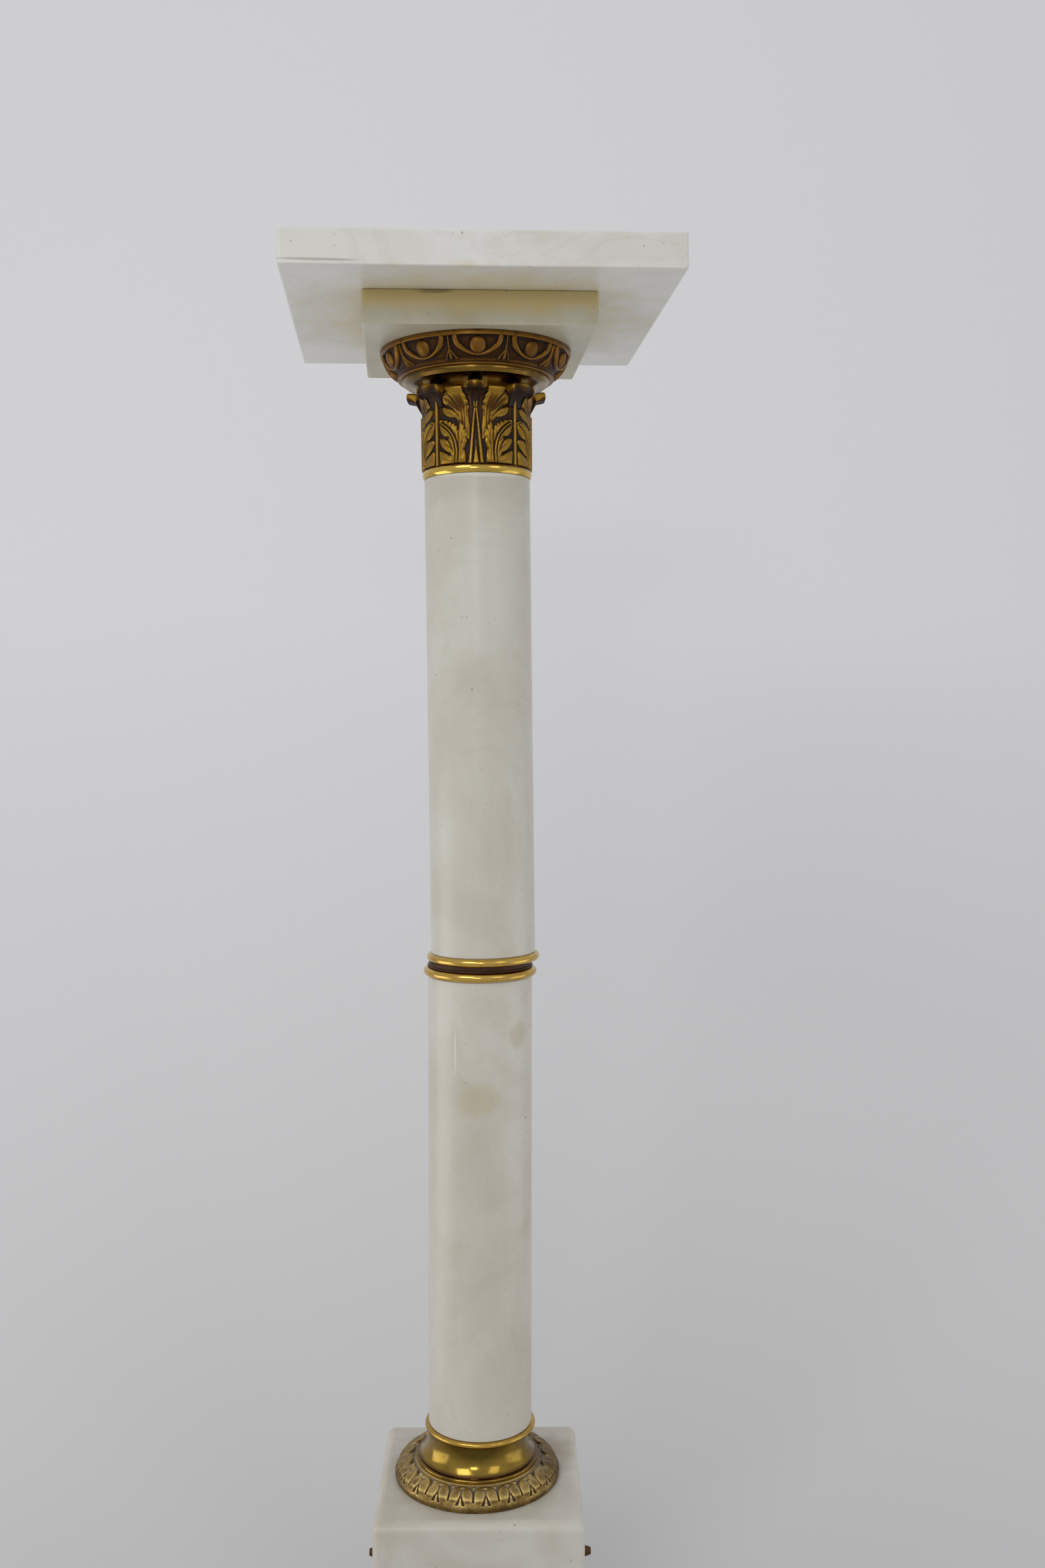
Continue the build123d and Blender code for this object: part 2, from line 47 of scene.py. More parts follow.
class Wire:
    """A socket among a finish's nodes. Arithmetic on wires adds Math nodes."""

    def __init__(self, tree, socket=None):
        self.tree = tree
        self.socket = socket

    def node(self, kind, settings, values, output=0):
        """Adds a node: its settings first, then what each socket holds or is fed by."""
        made = self.tree.nodes.new(kind)
        for name, setting in settings.items():
            if name == "stops":
                for stop, (place, colour) in enumerate(setting):
                    if stop > 1:
                        made.color_ramp.elements.new(place)
                    made.color_ramp.elements[stop].position = place
                    made.color_ramp.elements[stop].color = colour
            else:
                setattr(made, name, setting)
        for name, value in values.items():
            if isinstance(value, Wire):
                self.tree.links.new(value.socket, made.inputs[name])
            else:
                made.inputs[name].default_value = value
        return Wire(self.tree, made.outputs[output]) if made.outputs else None

    def maths(self, operation, *values):
        return self.node("ShaderNodeMath", {"operation": operation}, dict(enumerate(values)))

    def __add__(self, other):
        return self.maths("ADD", self, other)

    def __sub__(self, other):
        return self.maths("SUBTRACT", self, other)

    def __rsub__(self, other):
        return self.maths("SUBTRACT", other, self)

    def __mul__(self, other):
        return self.maths("MULTIPLY", self, other)

    def __truediv__(self, other):
        return self.maths("DIVIDE", self, other)

    def __abs__(self):
        return self.maths("ABSOLUTE", self)

    __radd__ = __add__
    __rmul__ = __mul__

    def clamped(self):
        return self.node("ShaderNodeClamp", {}, {"Value": self})

    def above(self, level, gain):
        """How far this wire is over a level, 0 to 1."""
        return ((self - level) * gain).clamped()

    def line_at(self, level, gain):
        """A fine line where this wire passes a level."""
        return (1 - abs(self - level) * gain).clamped()

    def mixed(self, first, second):
        """The second colour laid over the first as far as this wire says."""
        return self.node("ShaderNodeMix", {"data_type": "RGBA"}, {0: self, 6: first, 7: second}, 2)

    def vector(self, operation, *values, output=0):
        settings = {"operation": operation}
        return self.node("ShaderNodeVectorMath", settings, dict(enumerate(values)), output)

    def height(self):
        """The height in the place that this wire gives."""
        return self.node("ShaderNodeSeparateXYZ", {}, {"Vector": self}, "Z")

    def bump(self, strength, distance):
        """Normals bent by this wire taken as a height."""
        values = {"Strength": strength, "Distance": distance, "Height": self}
        return self.node("ShaderNodeBump", {}, values)

    def noise(self, scale, detail=3.0, roughness=0.55, distortion=0.0):
        """Cloudy noise over the place that this wire gives."""
        values = {"Vector": self, "Scale": scale, "Detail": detail, "Roughness": roughness}
        return self.node("ShaderNodeTexNoise", {}, {**values, "Distortion": distortion})

    def patch(self, centre, reach, ragged):
        """A soft patch round a place in millimetres, 1 in its middle and 0 outside its reach."""
        offset = self.vector("SUBTRACT", self, tuple(c / mm_in_metre for c in centre))
        spread = self.vector("DIVIDE", offset, tuple(r / mm_in_metre for r in reach))
        distance = spread.vector("LENGTH", spread, output="Value")
        return ((patch_end - distance - ragged) * patch_gain).clamped()


def paint(red, green, blue):
    """A screen colour, 0 to 255, turned into the linear one that a shader takes."""
    seen = [level / 255 for level in (red, green, blue)]
    return (*(c / 12.92 if c < 0.04045 else ((c + 0.055) / 1.055) ** 2.4 for c in seen), 1)


def blank_finish(name):
    """A new finish: its material, a wire that adds its nodes, and the place on the piece."""
    material = bpy.data.materials.new(name)
    material.use_nodes = True
    material.node_tree.nodes.clear()
    start = Wire(material.node_tree)
    return material, start, start.node("ShaderNodeTexCoord", {}, {}, "Object")


def close_finish(start, values):
    """Ends a finish with its surface shader and its output."""
    surface = start.node("ShaderNodeBsdfPrincipled", {}, values)
    start.node("ShaderNodeOutputMaterial", {}, {"Surface": surface})


vein_white, vein_strength = (219, 216, 208), 0.09
smoke_grey, smoke_strength = (176, 169, 150), 0.12
speck_brown, speck_strength = (120, 108, 88), 0.55
patch_raggedness = 1.1


def onyx_finish(name, pale, deep, stains_and_shade=(), drift=(0.0, 0.0, 0.0)):
    """Polished onyx: soft clouds, hair veins, small specks and the stains of its own piece, with
    any painted shade among them, each (centre, reach, colour, strength) in millimetres."""
    material, start, place = blank_finish(name)
    drifted = place.vector("ADD", place, drift)
    clouds = drifted.noise(scale=11.0, detail=3.0, roughness=0.5, distortion=0.8)
    colour = clouds.above(0.38, gain=3.6).mixed(paint(*pale), paint(*deep))
    drawn_out = drifted.vector("MULTIPLY", drifted, (1.0, 1.0, 0.35))
    streaks = drawn_out.noise(scale=16.0, detail=5.0, roughness=0.55, distortion=1.6)
    vein = streaks.line_at(0.52, gain=34)
    colour = (vein * vein_strength).mixed(colour, paint(*vein_white))
    wisps = drifted.noise(scale=8.0, detail=4.0, roughness=0.6, distortion=2.2)
    smoke = wisps.line_at(0.44, gain=22)
    colour = (smoke * smoke_strength).mixed(colour, paint(*smoke_grey))
    for centre, reach, mark_colour, strength in stains_and_shade:
        ragged = (place.noise(scale=55.0, detail=3.0) - 0.5) * patch_raggedness
        colour = (place.patch(centre, reach, ragged) * strength).mixed(colour, paint(*mark_colour))
    speck = place.noise(scale=260.0, detail=1.0).above(0.75, gain=18)
    colour = (speck * speck_strength).mixed(colour, paint(*speck_brown))
    rub = place.noise(scale=38.0, detail=5.0, roughness=0.7)
    bump = rub.bump(strength=0.05, distance=0.0012)
    close_finish(start, {
        "Base Color": colour, "Roughness": 0.2 + rub * 0.26, "Normal": bump, "IOR": 1.49,
        "Subsurface Weight": 0.26, "Subsurface Radius": (1.0, 0.86, 0.6), "Subsurface Scale": 0.006,
    })
    return material


def dress(names, material):
    """Gives a finish to every material slot of these nodes."""
    for name in names:
        for slot in nodes[name].material_slots:
            slot.material = material


slab_onyx = onyx_finish("foot_slab_onyx", (198, 194, 184), (188, 182, 168), drift=(3.1, 0.4, 0.7))
dress(["plinth_slab"], slab_onyx)

# Block: a heavy cube of the same stone, its upper edge rounded wide by hand. Dirt lies
# along the mount's edge and in small pits on its top.
block_onyx = onyx_finish(
    "block_onyx", (203, 200, 191), (188, 182, 168),
    stains_and_shade=[
        ((-2, 0, 169), (70, 70, 2.2), (160, 146, 118), 0.35),
        ((56, 26, 169), (26, 34, 6), (150, 134, 108), 0.5),
        ((-40, -82, 60), (70, 30, 60), (176, 168, 146), 0.5),
    ],
)
dress(["plinth_block"], block_onyx)

# Bosses: turned bronze domes, one on each face of the block a little above its middle,
# long gone dark brown. Each is fixed by its own stud in the stone.
old_bronze, start, place = blank_finish("boss_bronze")
patches = place.noise(scale=120.0, detail=4.0, roughness=0.6)
close_finish(start, {
    "Base Color": patches.mixed(paint(58, 38, 26), paint(104, 76, 46)),
    "Metallic": 0.85, "Roughness": 0.34 + patches * 0.25,
    "Normal": patches.bump(strength=0.2, distance=0.0004),
})
dress([f"plinth_boss_{side}" for side in ("front", "right", "back", "left")], old_bronze)


# Leaf ring: a cast hollow flange of twenty rounded leaves laid side by side, chased with
# a forked vein each, and rubbed bright on top while polish and dirt stay in the hollows. The
# hollows are also painted dark as painted shade, and both flanks darker brown as painted shade.
def arc_through(first, middle, last, count):
    """Points along the arc through three points."""
    (ax, ay), (bx, by), (cx, cy) = first, middle, last
    twice = 2 * (ax * (by - cy) + bx * (cy - ay) + cx * (ay - by))
    squares = [x * x + y * y for x, y in (first, middle, last)]
    x = (squares[0] * (by - cy) + squares[1] * (cy - ay) + squares[2] * (ay - by)) / twice
    y = (squares[0] * (cx - bx) + squares[1] * (ax - cx) + squares[2] * (bx - ax)) / twice
    radius = np.hypot(ax - x, ay - y)
    turns = np.unwrap([np.arctan2(q - y, p - x) for p, q in (first, middle, last)])
    along = np.linspace(turns[0], turns[2], count)
    return np.stack([x + radius * np.cos(along), y + radius * np.sin(along)], 1)


def path_through(*parts):
    """One run of section points from several."""
    return np.concatenate([np.atleast_2d(np.array(part, float)) for part in parts])


def outward(section):
    """The outward normals of a closed section that runs up its outer side."""
    ahead = np.roll(section, -1, 0) - np.roll(section, 1, 0)
    side = np.stack([ahead[:, 1], -ahead[:, 0]], 1)
    return side / np.maximum(np.linalg.norm(side, axis=1, keepdims=True), 1e-9)


def softened(field, rows, columns):
    """A field blurred by some cells each way. It closes on itself across its columns."""
    last = len(field) - 1
    for _ in range(3):
        shifts = range(-rows, rows + 1)
        field = sum(field[np.clip(np.arange(last + 1) + k, 0, last)] for k in shifts) / len(shifts)
        shifts = range(-columns, columns + 1)
        field = sum(np.roll(field, k, 1) for k in shifts) / len(shifts)
    return field


def on_seat(seat, radius, turn, height):
    """Points in metres at these radii, turns from the front and heights (mm) on a seat."""
    origin, across, up = (np.array(part, float) for part in seat)
    back = np.array((0.0, 1.0, 0.0))
    out = np.sin(turn)[..., None] * across - np.cos(turn)[..., None] * back
    return (origin + radius[..., None] * out + height[..., None] * up) / mm_in_metre


def ramp(value, start, end):
    """0 up to the start, 1 from the end, and even between. It falls where the end is lower."""
    return np.clip((value - start) / (end - start), 0, 1)


def ridge(distance, width):
    """A soft ridge of height 1 along a line."""
    return np.exp(-(distance / width) ** 2)


def grid_piece(name, grids, finish, slot, *replaced):
    """One piece from grids of points that close round their columns, and their rows too where
    the grid says so. Each grid is (points, relief, closed)."""
    points, faces, relief, count = [], [], [], 0
    for grid, shade, closed in grids:
        index = np.arange(grid.shape[0] * grid.shape[1]).reshape(grid.shape[:2]) + count
        low = index if closed else index[:-1]
        high = np.roll(index, -1, 0) if closed else index[1:]
        corners = [low, np.roll(low, -1, 1), np.roll(high, -1, 1), high]
        faces.append(np.stack(corners, -1).reshape(-1, 4))
        points.append(grid.reshape(-1, 3))
        relief.append(shade.ravel())
        count += index.size
    mesh = bpy.data.meshes.new(name)
    mesh.from_pydata(np.concatenate(points).tolist(), [], np.concatenate(faces).tolist())
    shades = mesh.attributes.new("relief", "FLOAT", "POINT")
    shades.data.foreach_set("value", np.concatenate(relief))
    mesh.shade_smooth()
    mesh.materials.append(finish)
    piece = bpy.data.objects.new(name, mesh)
    bpy.context.scene.collection.objects.link(piece)
    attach(piece, "root")
    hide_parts(*replaced)


edge_tone = 0.9


def chased_ring(name, seat, section, carve, columns, finish, slot, node, extra=(), tone=0.32):
    """A turned ring whose section is raised and cut by carve(turn, section points). Its relief
    is shaded by how far it stands out from what lies round it, widely and closely."""
    turn = np.linspace(0, 2 * pi, columns, endpoint=False)[None, :] * np.ones((len(section), 1))
    raised = carve(turn, section)
    normal = outward(section)
    radius = section[:, :1] + raised * normal[:, :1]
    height = section[:, 1:] + raised * normal[:, 1:]
    wide = softened(raised, rows=9, columns=4)
    close = softened(raised, rows=3, columns=1)
    # Painted shade along with the patina: hollows get darker the further they sink below what lies
    # round them.
    shade = np.clip(0.5 + (raised - wide) * tone + (raised - close) * edge_tone, 0, 1)
    grids = [(on_seat(seat, radius, turn, height), shade, True), *extra]
    grid_piece(name, grids, finish, slot, node)


def chased_finish(name, hollow, middle, worn, dull=0.0, haze=None, painted_dark_patches=()):
    """Cast and chased bronze: dark in the hollows with patina and painted shade, gilt brown
    between, rubbed bright on the ridges. Haze is (lowest height, colour, strength), each painted
    dark patch of painted shade as an onyx stain."""
    material, start, place = blank_finish(name)
    depth = start.node("ShaderNodeAttribute", {"attribute_name": "relief"}, {}, "Fac")
    cloud = place.noise(scale=45.0, detail=4.0, roughness=0.6)
    grain = place.noise(scale=420.0, detail=2.0, roughness=0.6)
    level = (depth + (cloud - 0.5) * (0.34 + dull) + (grain - 0.5) * 0.16).clamped()
    tones = [(0.16, hollow), (0.46, middle), (0.66, worn), (1.0, worn)]
    stops = [(stop, paint(*tone)) for stop, tone in tones]
    colour = level.node("ShaderNodeValToRGB", {"stops": stops}, {"Fac": level})
    for centre, reach, brown, strength in painted_dark_patches:
        patch = place.patch(centre, reach, (cloud - 0.5) * 1.2)
        colour = (patch * strength).mixed(colour, paint(*brown))
    if haze:
        lowest, tint, strength = haze
        settled = place.height().above(lowest / mm_in_metre, gain=400)
        settled = settled * ((0.52 - depth) * 6).clamped()
        colour = (settled * strength).mixed(colour, paint(*tint))
    pitted = grain * 0.6 + cloud * 0.4
    bump = pitted.bump(strength=0.22, distance=0.0005)
    close_finish(start, {
        "Base Color": colour, "Metallic": (level * 1.3 + 0.45).clamped(),
        "Roughness": 0.56 - level * 0.26 + cloud * 0.08, "Normal": bump,
    })
    return material


ground_seat = ((-2.3, 0.0, 169.0), (1.0, 0.0, 0.0), (0.0, 0.0, 1.0))
petal_count = 20
petal_turn = radians(7)
petal_spring = 64
petal_length = 11.8
petal_half_width = 9.4
petal_gain = 0.9
petal_gain_radii = (58, 64)
petal_squareness = 2.5
petal_edge_gain = 9
petal_depth = 1.7
petal_puff = 0.7
petal_foot = 9.6
filler_rise = 1.3
filler_half_width = 1.9
filler_radii = (56.4, 53.2)
filler_tip = 52.4
stem_root_radii = (55.6, 56.6)
stem_tip_radii = (63, 61.5)
eye_depth = 0.9
eye_radius = 57.6
fork_top = 12.2
fork_run = 6
fork_spread = 2.6
fork_radius = 57
leg_foot_heights = (5.6, 6.4)
leaf_lip_radius = 51.5
leaf_columns = 760


def carve_petals(turn, section):
    """Round-shouldered leaves with a V between two, a small triangle in it, and a forked vein."""
    radius, height = section[:, :1], section[:, 1:] + 0 * turn
    top = (section[:, 1:] > 3) & (radius > leaf_lip_radius)
    step = 2 * pi / petal_count
    off = (turn - petal_turn + step / 2) % step - step / 2
    along = np.maximum(petal_spring - radius * np.cos(off), 0)
    across = radius * np.sin(off)
    half = petal_half_width + petal_gain * ramp(radius, *petal_gain_radii)
    edge = (along / petal_length) ** petal_squareness + np.abs(across / half) ** petal_squareness
    edge = edge ** (1 / petal_squareness)
    plain = ramp(height, petal_foot, petal_foot - 1.8)
    petal = np.maximum(np.clip((1 - edge) * petal_edge_gain, 0, 1), plain)
    puff = np.clip(1 - edge ** 2, 0, 1) ** 0.5 * petal_puff * (1 - plain)
    raised = petal_depth * (petal - 1) + puff * petal
    notch = (turn - petal_turn) % step - step / 2
    tip, aside = radius * np.cos(notch), np.abs(radius * np.sin(notch))
    filler = np.clip((filler_half_width * ramp(tip, *filler_radii) - aside) / 0.5, 0, 1)
    filled = np.maximum(raised, filler_rise * filler - petal_depth)
    raised = np.where(tip > filler_tip, filled, raised)
    fork = np.clip((fork_top - height) / fork_run, 0, 1.2) * (radius > fork_radius)
    stem = ridge(across, 0.6) * ramp(radius, *stem_root_radii) * ramp(radius, *stem_tip_radii)
    legs = ridge(np.abs(across) - fork_spread * fork, 0.5 + 0.5 * fork) * (radius > fork_radius)
    legs = legs * ramp(height, fork_top + 0.4, fork_top - 0.6) * ramp(height, *leg_foot_heights)
    eye = ridge(across, 1.6) * ridge(radius - eye_radius, 0.9)
    raised = raised - np.maximum(stem, legs) * petal - eye_depth * eye * petal
    return np.where(top, raised, 0.0)


leaf_section = path_through(
    (40, 0), (66, 0), (66.5, 0.15), (66.7, 0.5),
    arc_through((66.75, 0.9), (67.15, 2.4), (67.2, 3.7), 10),
    arc_through((67.2, 3.7), (62.6, 11.1), (52, 14.3), 92)[1:],
    (51.6, 14.3), (50.5, 14.3), (40, 14.3), (40, 14),
)
leaf_bronze = chased_finish(
    "leaf_ring_bronze", hollow=(52, 36, 30), middle=(116, 92, 52), worn=(194, 168, 104), dull=0.1,
    haze=(179.5, (172, 164, 150), 0.55),
    # Painted shade: the ring's right flank and, more lightly, its left flank are painted darker
    # brown.
    painted_dark_patches=[
        ((66, 16, 176), (40, 62, 30), (78, 58, 42), 0.75),
        ((-68, 20, 176), (30, 56, 30), (96, 74, 52), 0.55),
    ],
)
chased_ring(
    "base_leaf_ring_chased", ground_seat, leaf_section, carve_petals, leaf_columns, leaf_bronze,
    "cast_bronze", "base_leaf_ring",
)


# Scotia and bead ring: turned and polished bronze, a hollow moulding with a thin ring at
# its foot, and over it the half-round ring that the lower drum stands on.
def polished_finish(name, bright, tarnish, amount=0.5, rough=0.17, bands=(), painted_dark_patches=()):
    """Turned bronze, polished: fine rings from the lathe, brown tarnish in soft patches. Each
    band is (middle height, reach, colour, strength), each painted dark patch, where a reflection
    or shade is painted, as an onyx stain."""
    material, start, place = blank_finish(name)
    cloud = place.noise(scale=28.0, detail=4.0, roughness=0.62, distortion=0.4)
    spots = place.noise(scale=170.0, detail=3.0).above(0.56, gain=5)
    tarnished = ((cloud - 0.5 + (amount - 0.5) * 0.5) * 3.2 + 0.2).clamped() * 0.75
    colour = tarnished.mixed(paint(*bright), paint(*tarnish))
    colour = (spots * 0.35).mixed(colour, paint(*tarnish))
    height = place.height()
    for middle, reach, mark_colour, strength in bands:
        off = abs(height - middle / mm_in_metre) / (reach / mm_in_metre)
        band = (1.3 - off + (cloud - 0.5) * 0.8).clamped()
        colour = (band * strength).mixed(colour, paint(*mark_colour))
    for centre, reach, brown, strength in painted_dark_patches:
        patch = place.patch(centre, reach, (cloud - 0.5) * 0.5)
        colour = (patch * strength).mixed(colour, paint(*brown))
    lathe = place.vector("MULTIPLY", place, (3.0, 3.0, 900.0)).noise(scale=1.0, detail=2.0)
    bump = lathe.bump(strength=0.05, distance=0.0003)
    close_finish(start, {
        "Base Color": colour, "Metallic": 1.0,
        "Roughness": rough + tarnished * 0.2 + spots * 0.12, "Normal": bump,
    })
    return material


scotia_bronze = polished_finish(
    "scotia_bronze", (158, 130, 58), (92, 70, 32), amount=0.45, rough=0.13,
    bands=[(187.2, 1.6, (86, 58, 44), 0.8)],
    # Painted reflection: a dark olive patch on the front of the scotia. Painted shade: a darker
    # brown patch on its right side.
    painted_dark_patches=[
        ((-2, -50, 206), (30, 30, 11), (66, 54, 18), 0.75),
        ((60, 6, 198), (26, 40, 30), (88, 70, 44), 0.6),
    ],
)
dress(["base_scotia"], scotia_bronze)
bead_bronze = polished_finish(
    "bead_bronze", (196, 160, 78), (128, 96, 44), amount=0.4, rough=0.2,
)
dress(["base_bead_ring"], bead_bronze)

# Lower drum: a turned and polished cylinder of onyx, with two soft yellow clouds and one
# long scratch in front.
lower_onyx = onyx_finish(
    "lower_drum_onyx", (203, 199, 188), (193, 187, 173),
    stains_and_shade=[
        ((-1, -42, 487), (15, 20, 14), (172, 162, 104), 0.3),
        ((31, -28, 537), (7, 14, 11), (164, 148, 100), 0.34),
        ((-19, -38, 523), (0.4, 6, 17), (236, 234, 228), 0.6),
    ],
    drift=(0.3, 0.9, 0.2),
)
dress(["lower_shaft"], lower_onyx)

# Joint at mid height: two half-round rings with a dark neck between them, where the two
# drums of the shaft meet. Hands have kept the rings bright.
ring_bronze = polished_finish(
    "joint_ring_bronze", (208, 172, 88), (138, 104, 46), amount=0.35, rough=0.16,
)
dress(["lower_joint_ring", "upper_joint_ring"], ring_bronze)
neck_bronze, start, place = blank_finish("neck_bronze")
patches = place.noise(scale=90.0, detail=4.0, roughness=0.6)
close_finish(start, {
    "Base Color": patches.mixed(paint(44, 30, 26), paint(86, 60, 40)),
    "Metallic": 0.8, "Roughness": 0.38 + patches * 0.2,
})
dress(["joint_neck"], neck_bronze)

# Upper drum: the same stone, painted greyer under the collar as painted shade, and pale
# where its edge is chipped there. It leans a little to the left.
upper_onyx = onyx_finish(
    "upper_drum_onyx", (204, 201, 191), (195, 190, 177),
    stains_and_shade=[
        ((6, -42, 975.2), (34, 22, 2.0), (236, 232, 222), 0.85),
        # Painted shade: the top of the drum is painted greyer under the collar.
        ((-2, -10, 972), (60, 60, 22), (184, 180, 166), 0.55),
    ],
    drift=(1.3, 0.2, 0.1),
)
dress(["upper_shaft"], upper_onyx)

# Collar: a turned band under the basket, its crowned face polished, the foot of the
# casting above it brown.
collar_bronze = polished_finish(
    "collar_bronze", (210, 178, 86), (140, 110, 46), amount=0.35, rough=0.14,
    bands=[(982.2, 1.1, (112, 66, 48), 0.9)],
)
dress(["capital_collar"], collar_bronze)

# Basket: a hollow casting of acanthus leaves in two tiers, chased with lobes, midribs and
# veins. Between the units thin stems rise, and eight leaf tips curl out over the bell.
lean = radians(0.72)
upper_seat = (
    (2.58, 0.0, 591.9), (np.cos(lean), 0.0, np.sin(lean)), (-np.sin(lean), 0.0, np.cos(lean)),
)
basket_foot = 390.9
basket_radius = 41.8
basket_columns = 640
map_step = 0.12
map_width = 32
map_low = -1
map_high = 60
unit_count = 4
plate_round, plate_swell = 0.7, 2.6
crease_depth, crease_width = 0.75, 0.7
vein_depth, vein_width = 0.42, 0.34
cut_fades_to = 0.3


def smooth_line(knots, count=40):
    """A flowing line through a few knots, with whatever else each knot carries."""
    knots = np.array(knots, float)
    knots = np.concatenate([2 * knots[:1] - knots[1:2], knots, 2 * knots[-1:] - knots[-2:-1]])
    spot = np.linspace(0, len(knots) - 3, count)
    first = np.minimum(spot.astype(int), len(knots) - 4)
    f = (spot - first)[:, None]
    a, b, c, d = (knots[first + k] for k in range(4))
    bend, twist = 2 * a - 5 * b + 4 * c - d, 3 * b - a - 3 * c + d
    return 0.5 * (2 * b + (c - a) * f + bend * f ** 2 + twist * f ** 3)


leaf_x, leaf_h = np.meshgrid(
    np.arange(0, map_width, map_step), np.arange(map_low, map_high, map_step),
)


def along_run(first, last):
    """Each map place's part along a straight run, 0 to 1, and its distance from the run."""
    run = last - first
    part = ((leaf_x - first[0]) * run[0] + (leaf_h - first[1]) * run[1]) / max(run @ run, 1e-9)
    part = np.clip(part, 0, 1)
    return part, np.hypot(leaf_x - first[0] - part * run[0], leaf_h - first[1] - part * run[1])


def from_line(knots):
    """Each map place's distance from a flowing line, and what the line's knots carry there."""
    line = smooth_line(knots)
    best, carried = np.full(leaf_x.shape, np.inf), np.zeros(leaf_x.shape)
    for first, last in zip(line[:-1], line[1:]):
        part, gap = along_run(first[:2], last[:2])
        nearer = gap < best
        best = np.where(nearer, gap, best)
        carried = np.where(nearer, first[2] + part * (last[2] - first[2]), carried)
    return best, carried


def plate(outline):
    """Depth of each place on the leaf map inside a leaf's outline, and 0 outside it."""
    outline = np.array(outline, float)
    inside, depth = np.zeros(leaf_x.shape, bool), np.full(leaf_x.shape, np.inf)
    for first, last in zip(outline, np.roll(outline, -1, 0)):
        (ax, ah), (bx, bh) = first, last
        if ah != bh:
            crossing = ax + (leaf_h - ah) * (bx - ax) / (bh - ah)
            inside ^= ((ah > leaf_h) != (bh > leaf_h)) & (leaf_x < crossing)
        depth = np.minimum(depth, along_run(first, last)[1])
    return np.where(inside, depth, 0)


def leaf(outline, rise, creases, veins):
    """A leaf plate with rounded edges, its lobes parted by creases and cut with fine veins."""
    depth = plate(outline)
    raised = rise * (0.6 * ramp(depth, 0, plate_round) ** 0.6 + 0.4 * ramp(depth, 0, plate_swell))
    cuts = ((creases, crease_depth, crease_width), (veins, vein_depth, vein_width))
    for lines, deep, wide in cuts:
        for knots in lines:
            fades = np.linspace(1, cut_fades_to, len(knots))
            gap, fade = from_line([(*knot, kept) for knot, kept in zip(knots, fades)])
            raised = raised - deep * fade * ridge(gap, wide) * (depth > 0)
    return raised * (depth > 0)


tall_leaf = [
    (4.4, 18), (4.2, 28), (5.3, 36), (5.5, 40), (4.7, 43.4), (5.8, 45), (5.2, 47.6), (7, 49.4),
    (6.9, 52), (8.8, 54), (9.6, 58.6), (27.5, 58.6), (26.9, 54), (27, 50), (25.6, 47),
    (22.3, 44.4), (25.2, 44.8), (26.3, 43), (25.6, 40), (23.4, 37.4), (20, 35.6), (16, 35),
    (13, 30), (10, 22), (8, 18),
]
tall_creases = [[(22.3, 44.4), (18, 41.6), (13.4, 36)], [(24, 57), (18, 50), (12.6, 40)]]
tall_veins = [
    [(8.6, 24), (8.4, 36), (10, 46), (14, 57)], [(10.4, 24), (10.6, 36), (13, 46), (18, 56)],
    [(13.6, 33), (18, 37.6), (23.6, 40.6)], [(14.4, 41), (19, 47), (24.6, 52)],
    [(6.6, 36), (6.6, 44), (8.4, 51)],
]
low_leaf = [
    (7.9, 0.4), (7.3, 5), (8.5, 11), (7.4, 14.4), (6.2, 16.6), (6.9, 19.4), (5.9, 21.6), (6.7, 24),
    (6.4, 26.4), (8.2, 26.6), (8.4, 29.4), (9.9, 30.4), (11.4, 32.8), (13, 30.8), (13.7, 27.4),
    (14.3, 29.8), (15.8, 30), (16.4, 31.8), (18.2, 31.6), (19, 33.4), (21, 33), (22.2, 34.8),
    (24.6, 34.4), (27.4, 35.6), (28.6, 33.4), (28.3, 29), (27.4, 25), (25.4, 22), (22.4, 20.2),
    (25.2, 20.7), (28, 20.4), (28.4, 17.8), (26.8, 13.8), (24, 10.6), (21, 8.2), (24.4, 9.8),
    (28, 12), (28.7, 9), (28.4, 4), (28, 0.4),
]
low_creases = [
    [(21, 8.2), (18.6, 5.6), (17, 1.6)], [(22.4, 20.2), (19.6, 15), (17, 8)],
    [(13.7, 27.4), (13.4, 20), (13.2, 10)],
]
low_veins = [
    [(12, 3), (11.2, 14), (10.6, 22), (11.2, 30.6)], [(10.6, 15), (9, 20), (7.6, 24.6)],
    [(10.4, 5), (9.4, 11), (7.8, 15.6)], [(18.4, 3), (22.6, 6.4), (27, 9.6)],
    [(18.2, 11), (22.6, 15), (27, 18.4)], [(18.6, 18), (22.6, 24), (26.4, 28)],
    [(15.4, 20), (16.2, 26), (17.4, 30.8)], [(17.4, 23), (19.4, 28), (22, 33)],
]
tall_rise, low_rise, spear_rise, core_rise, tube_rise, stem_rise = 1.5, 2.6, 2.2, 1.5, 1.3, 2.0
flare_foot, flare_run, flare_rise = 43, 15, 3.2
midrib_rise, midrib_width = 0.5, 0.55
groove_offset, groove_depth, groove_width = 1.2, 1.2, 0.45
spear_top, spear_half_width, spear_taper = 44, 1.5, 0.012
core_top, core_half_width = 18.8, 2.6
stem_top, stem_edge = 50, (1.15, 0.55)
sunk_depth, sunk_half_width = 0.7, 5.0
map_stretch = 1.03

